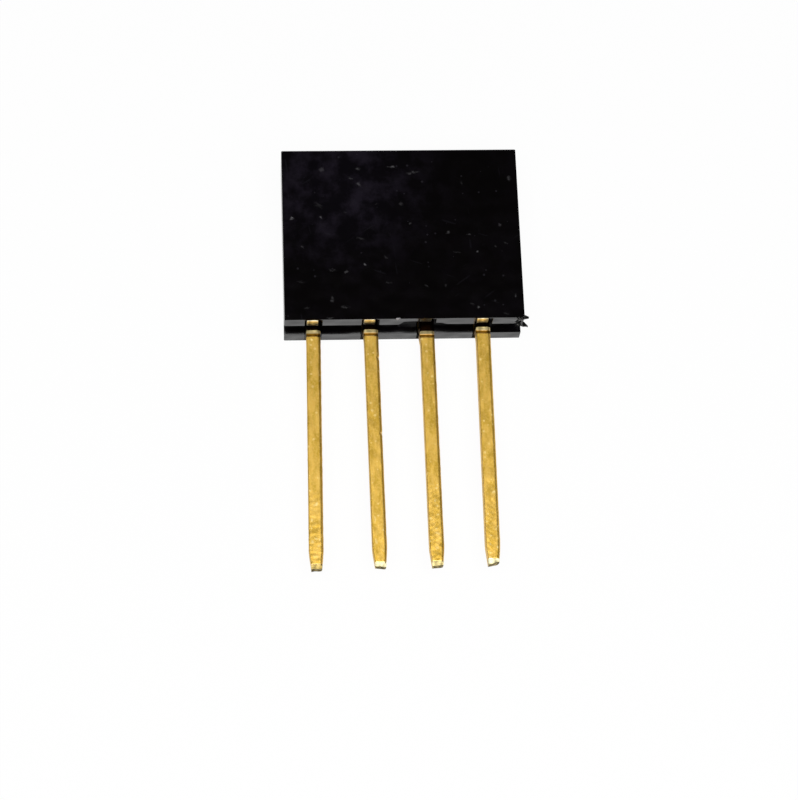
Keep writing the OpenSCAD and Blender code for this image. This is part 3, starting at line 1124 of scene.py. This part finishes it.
def mark_group():
    """One soft oval mark: the position is shifted, turned and scaled so that the oval
    becomes a circle of radius 1, and the mask falls from 1 to 0 towards its edge."""
    group, given, out = new_group(
        "single_mark", Position=None, Place=None, Turn=None, Half_Size=None
    )
    inside = new_node(
        group, "ShaderNodeMapping", Vector=given["Position"], Location=given["Place"],
        Rotation=given["Turn"], Scale=given["Half Size"],
    )
    inside.vector_type = "TEXTURE"
    length = group.nodes.new("ShaderNodeVectorMath")
    length.operation = "LENGTH"
    group.links.new(inside.outputs[0], length.inputs[0])
    group.links.new(step_node(group, length.outputs["Value"], MARK_CORE, 1.0, 1.0, 0.0), out)
    return group


single_mark = mark_group()
print("masks:", [group.name for group in (cloudy, specks, scratches, single_mark)])


def shaken(tree, position, scale, reach):
    """The position, moved by a noise of up to about half of reach each way."""
    moved = tree.nodes.new("ShaderNodeVectorMath")
    moved.operation = "MULTIPLY_ADD"
    tree.links.new(noise_node(tree, position, scale, output="Color"), moved.inputs[0])
    moved.inputs[1].default_value = (reach, reach, reach)
    tree.links.new(position, moved.inputs[2])
    return turned(tree, moved.outputs[0], place=(-reach / 2, -reach / 2, -reach / 2))


def all_marks(tree, position, marks, z, depth, reach):
    """The strongest of many marks. A mark is (x, y, length, width, turn, strength)."""
    wobble = noise_node(tree, position, 9.0, detail=2.0)
    position = shaken(tree, position, 5.0, reach)
    total = 0.0
    for x, y, long, wide, turn, strength in marks:
        mask = place_group(
            tree, single_mark, Position=position, Place=(x, y, z),
            Turn=(0, 0, math.radians(turn)), Half_Size=(long / 2, wide / 2, depth),
        )
        total = math_node(tree, "MAXIMUM", total, math_node(tree, "MULTIPLY", mask, strength))
    return math_node(tree, "MULTIPLY", total, step_node(tree, wobble, 0.3, 0.55, 0.35, 1.0))


# %% [markdown]
# ### Black plastic
#
# The moulding is smooth and very dark. What shows on it in the photograph is what lies on it:
# a bluish haze in the upper left, fine scratches, and specks of pale dust. The haze is a little
# rougher than the clean plastic, so it catches more light from the lamp. A wide, faint swell in
# the bump bends the reflections, as on any thin moulding, and a fine grain softens them.

# %% Dust and lint on the housing
# Each row is x, y, length, width in millimetres, turn in degrees, and strength.
DUST = [
    (-4.69, 4.93, 0.32, 0.23, 10, 0.9), (-3.39, 4.96, 0.23, 0.23, 0, 0.8),
    (-4.22, 3.55, 0.32, 0.14, -50, 0.45), (-2.92, 2.39, 0.63, 0.14, 0, 0.35),
    (-2.32, 2.31, 0.32, 0.18, 60, 0.6), (-1.48, 2.64, 0.23, 0.18, 0, 0.8),
    (-1.62, 7.39, 0.27, 0.23, 0, 0.6), (-1.99, 6.89, 0.36, 0.18, -30, 0.6),
    (-1.64, 6.59, 0.41, 0.23, -35, 0.55), (-3.3, 7.35, 0.45, 0.32, 60, 0.45),
    (-0.1, 7.45, 0.63, 0.14, -5, 0.7), (0.85, 7.17, 0.9, 0.23, 5, 0.55),
    (-3.48, 5.56, 0.63, 0.32, -40, 0.3), (3.06, 6.65, 0.18, 0.41, 0, 0.3),
    (5.23, 6.83, 0.32, 0.41, 0, 0.5), (0.24, 5.62, 0.36, 0.27, 0, 0.4),
    (-0.85, 5.63, 0.23, 0.14, 0, 0.3), (0.66, 4.65, 0.18, 0.18, -60, 0.5),
    (2.37, 4.19, 0.27, 0.18, 0, 0.6), (3.27, 4.06, 0.27, 0.14, 0, 0.55),
    (2.69, 3.21, 0.63, 0.14, 0, 0.3), (3.64, 3.2, 0.23, 0.18, 0, 0.75),
    (4.74, 4.49, 0.27, 0.18, 0, 0.5), (4.47, 3.48, 0.18, 0.14, 0, 0.4),
    (4.95, 3.6, 0.23, 0.14, 0, 0.45), (5.27, 1.06, 0.18, 0.23, 0, 0.9),
    (3.56, 0.55, 0.18, 0.18, 0, 0.7), (3.29, 0.67, 0.18, 0.18, 0, 0.35),
    (-2.96, 0.96, 0.23, 0.36, 20, 0.5), (-2.39, 0.6, 0.63, 0.14, -8, 0.45),
    (-4.08, 0.59, 0.41, 0.18, 0, 0.3), (-0.48, 2.97, 0.36, 0.18, -35, 0.35),
    (-0.43, 1.75, 0.36, 0.14, 5, 0.4), (1.27, 1.54, 0.36, 0.14, -35, 0.4),
    (2.12, 1.58, 0.18, 0.32, 0, 0.35), (-1.62, 3.91, 0.54, 0.18, -15, 0.35),
    (4.8, 0.2, 0.45, 0.14, -8, 0.4), (-4.32, 1.85, 0.72, 0.14, 0, 0.25),
    (-2.26, 5.23, 0.23, 0.14, 0, 0.35), (-0.09, -0.01, 0.32, 0.2, 0, 3.5),
    (-0.85, -0.02, 0.63, 0.14, -8, 0.5), (-3.07, 0.08, 0.54, 0.11, 0, 0.5),
]
print("marks of dust:", len(DUST))

# %% Black plastic
HAZE_PLACE = (-2.6, 6.6, 1.25)
HAZE_REACH = 5.5
CLEAN_BLACK = (0.0005, 0.0001, 0.0001, 1)
SMOKY_BLACK = (0.0018, 0.0012, 0.0024, 1)
HAZE_COLOUR = (0.0092, 0.0068, 0.0122, 1)
SCRATCH_COLOUR = (0.10, 0.10, 0.13, 1)
GRAIN_COLOUR = (0.13, 0.12, 0.15, 1)
DUST_COLOUR = (0.38, 0.37, 0.39, 1)
DUST_POWER = 1.7
SWELL_RATE = 1.6
SWELL_GAIN = 24.0


def make_plastic():
    """Near black, with a mauve haze, fine scratches, specks, and the single bits of dust."""
    material, tree, shader, _ = new_material("black_plastic", Specular_IOR_Level=0.34)
    position = millimetres(tree)
    patches = place_group(tree, cloudy, Position=position, Patch_Size=1.0, Low=0.4, High=0.68)
    near = tree.nodes.new("ShaderNodeVectorMath")
    near.operation = "DISTANCE"
    tree.links.new(position, near.inputs[0])
    near.inputs[1].default_value = HAZE_PLACE
    where = step_node(tree, near.outputs["Value"], 0.5, HAZE_REACH, 1.0, 0.1)
    haze = math_node(tree, "MULTIPLY", patches, where)
    marks = place_group(tree, scratches, Position=position, Fineness=5.0, Level=0.74)
    grains = place_group(tree, specks, Position=position, Spacing=0.42, Radius=0.05, Share=0.5)
    dust = all_marks(tree, position, DUST, block_high[2] / MM, 0.3, 0.25)
    dust = math_node(tree, "POWER", dust, DUST_POWER)
    colour = mix_node(tree, where, CLEAN_BLACK, SMOKY_BLACK)
    colour = mix_node(tree, haze, colour, HAZE_COLOUR)
    for mask, share, tint in (
        (marks, 0.028, SCRATCH_COLOUR), (grains, 0.09, GRAIN_COLOUR), (dust, 0.25, DUST_COLOUR),
    ):
        colour = mix_node(tree, math_node(tree, "MULTIPLY", mask, share), colour, tint)
    tree.links.new(colour, shader.inputs["Base Color"])
    rough = math_node(tree, "MULTIPLY_ADD", haze, 0.08, 0.16)
    rough = math_node(tree, "MAXIMUM", rough, math_node(tree, "MULTIPLY", dust, 0.8))
    tree.links.new(rough, shader.inputs["Roughness"])
    fine = math_node(tree, "ADD", noise_node(tree, position, 14.0, detail=2.0), marks)
    swell = noise_node(tree, position, SWELL_RATE, detail=0.0)
    height = math_node(tree, "MULTIPLY_ADD", swell, SWELL_GAIN, fine)
    put_bump(tree, shader, height, strength=0.15, distance=0.01)
    return material


# %% [markdown]
# Where the plastic tore, its surface is crumbly and hardly reflects: the torn corner is the
# darkest part of the underside, with a few pale whitened bits.

# %% Torn plastic
TORN_BLACK = (0.001, 0.001, 0.001, 1)
TORN_PALE = (0.16, 0.16, 0.16, 1)


def make_torn_plastic():
    """Dull black, with pale bits where the plastic was stretched until it whitened."""
    material, tree, shader, _ = new_material("torn_plastic", Specular_IOR_Level=0.08)
    position = millimetres(tree)
    pale = place_group(tree, cloudy, Position=position, Patch_Size=0.16, Low=0.5, High=0.6)
    tree.links.new(mix_node(tree, pale, TORN_BLACK, TORN_PALE), shader.inputs["Base Color"])
    tree.links.new(math_node(tree, "MULTIPLY_ADD", pale, -0.1, 0.75), shader.inputs["Roughness"])
    crumbs = noise_node(tree, position, 18.0, detail=3.0)
    put_bump(tree, shader, crumbs, strength=0.6, distance=0.02)
    return material


# %% [markdown]
# ### Gold plating
#
# The contacts have a thin layer of gold over a copper alloy. It is satin, drawn lengthwise, and
# a little redder where it is thin. Its small bright specks and bright spots are painted
# highlights: paler gold, smoother, and raised a little in the bump. Where a point of the mesh
# lies in a zone, the number stored under the name zone is 1, and the zone's own colour and
# roughness take over, some of them painted light and shade.

# %% Bright spots on the tails
# Rows as for the dust. Each spot is painted a paler gold and made smoother, a painted highlight,
# and is raised a little in the bump.
SPOTS = [
    (-3.91, -0.58, 0.18, 0.16, 0, 1), (-3.89, -2.81, 0.23, 0.18, 0, 0.5),
    (-3.9, -5.27, 0.18, 0.18, 30, 0.7), (-3.96, -1.67, 0.23, 0.14, 90, 0.3),
    (-0.95, -1.47, 0.11, 0.14, 0, 0.8), (-1.39, -2.34, 0.16, 0.11, 0, 0.8),
    (-1.28, -3.98, 0.16, 0.16, 0, 0.7), (-0.94, -5.01, 0.11, 0.14, 0, 1),
    (-3.9, -8.27, 0.32, 0.18, 35, 1), (-4.1, -8.99, 0.14, 0.23, 0, 0.8),
    (-4.09, -9.35, 0.09, 0.14, 0, 0.6), (-4.08, -9.98, 0.18, 0.23, 0, 0.6),
    (-3.9, -9.83, 0.27, 0.14, -20, 0.5), (-3.79, -10.17, 0.14, 0.18, 0, 0.5),
    (-3.92, -10.63, 0.27, 0.18, 0, 0.4), (-0.99, -9.48, 0.11, 0.18, 0, 0.7),
    (-1.3, -10.01, 0.14, 0.36, 5, 0.5), (-1.03, -10.41, 0.14, 0.18, 0, 0.4),
    (-1.34, -8.98, 0.11, 0.45, 0, 0.6), (3.64, -1.63, 0.11, 0.23, 0, 0.6),
    (3.65, -4.55, 0.11, 0.14, 0, 0.8), (3.95, -4.03, 0.11, 0.23, 0, 0.5),
    (1.21, -1.65, 0.18, 0.27, 0, 0.3), (1.32, -8.18, 0.18, 0.18, 0, 0.6),
    (1.33, -9.47, 0.11, 0.11, 0, 0.6), (1.38, -9.7, 0.32, 0.14, -25, 0.7),
    (1.11, -9.02, 0.14, 0.23, 0, 0.6), (1.32, -10.36, 0.18, 0.18, 0, 0.5),
    (3.91, -7.84, 0.18, 0.18, 0, 1), (3.54, -9.18, 0.14, 0.14, 0, 0.6),
    (3.93, -9.54, 0.11, 0.18, 0, 0.7), (3.73, -9.85, 0.11, 0.11, 0, 0.6),
    (3.97, -9.95, 0.11, 0.14, 0, 0.6), (3.98, -10.35, 0.11, 0.18, 0, 0.9),
    (3.65, -10.61, 0.18, 0.18, 0, 0.5),
]
print("bright spots:", len(SPOTS))

# %% Gold plating
GOLD = (0.81, 0.515, 0.105, 1)
THIN_GOLD = (0.6, 0.37, 0.046, 1)
PALE_GOLD = (0.84, 0.585, 0.15, 1)
# The pale gold of the painted highlights on the spots and specks.
PAINTED_HIGHLIGHT = (1.0, 0.83, 0.37, 1)


def attribute_node(tree, name, output="Fac"):
    """What the mesh keeps under a name, as a number or as a colour."""
    node = tree.nodes.new("ShaderNodeAttribute")
    node.attribute_name = name
    return node.outputs[output]


def make_gold():
    """Satin gold between orange and olive yellow, with painted highlights on its bright spots and
    specks, and the zones' own colours.
    """
    material, tree, shader, _ = new_material("gold_plating", Metallic=1.0)
    position = millimetres(tree)
    drawn = turned(tree, position, scale=(1.0, 0.3, 1.0))
    patches = place_group(tree, cloudy, Position=drawn, Patch_Size=0.3, Low=0.36, High=0.64)
    small = place_group(tree, cloudy, Position=position, Patch_Size=0.1, Low=0.4, High=0.7)
    grains = place_group(tree, specks, Position=position, Spacing=0.2, Radius=0.055, Share=0.3)
    spots = all_marks(tree, position, SPOTS, PIN / 2, 0.4, 0.15)
    # Painted highlights: the bright spots and half of each speck turn the gold paler and smoother.
    pale = math_node(tree, "MAXIMUM", spots, math_node(tree, "MULTIPLY", grains, 0.5))
    zone = attribute_node(tree, "zone")
    colour = mix_node(tree, patches, GOLD, THIN_GOLD)
    colour = mix_node(tree, math_node(tree, "MULTIPLY", small, 0.55), colour, PALE_GOLD)
    colour = mix_node(tree, pale, colour, PAINTED_HIGHLIGHT)
    colour = mix_node(tree, zone, colour, attribute_node(tree, "zone_colour", "Color"))
    tree.links.new(colour, shader.inputs["Base Color"])
    rough = math_node(tree, "MULTIPLY_ADD", pale, 0.2, 0.48)
    rough = mix_node(tree, zone, rough, attribute_node(tree, "zone_roughness"), "FLOAT")
    tree.links.new(rough, shader.inputs["Roughness"])
    grain = noise_node(tree, drawn, 7.0, detail=2.0)
    height = math_node(tree, "MULTIPLY_ADD", pale, 0.5, grain)
    put_bump(tree, shader, height, strength=0.45, distance=0.006)
    return material


# %% [markdown]
# ## Putting it together
#
# The finishes are made first, because each piece is given its own as it is built. Then the
# housing and the four contacts take the places of the solid model's pieces.

# %% Put the parts together
make_housing(make_plastic(), make_torn_plastic())
gold = make_gold()
for i in range(len(CONTACTS)):
    make_contact(i, gold)
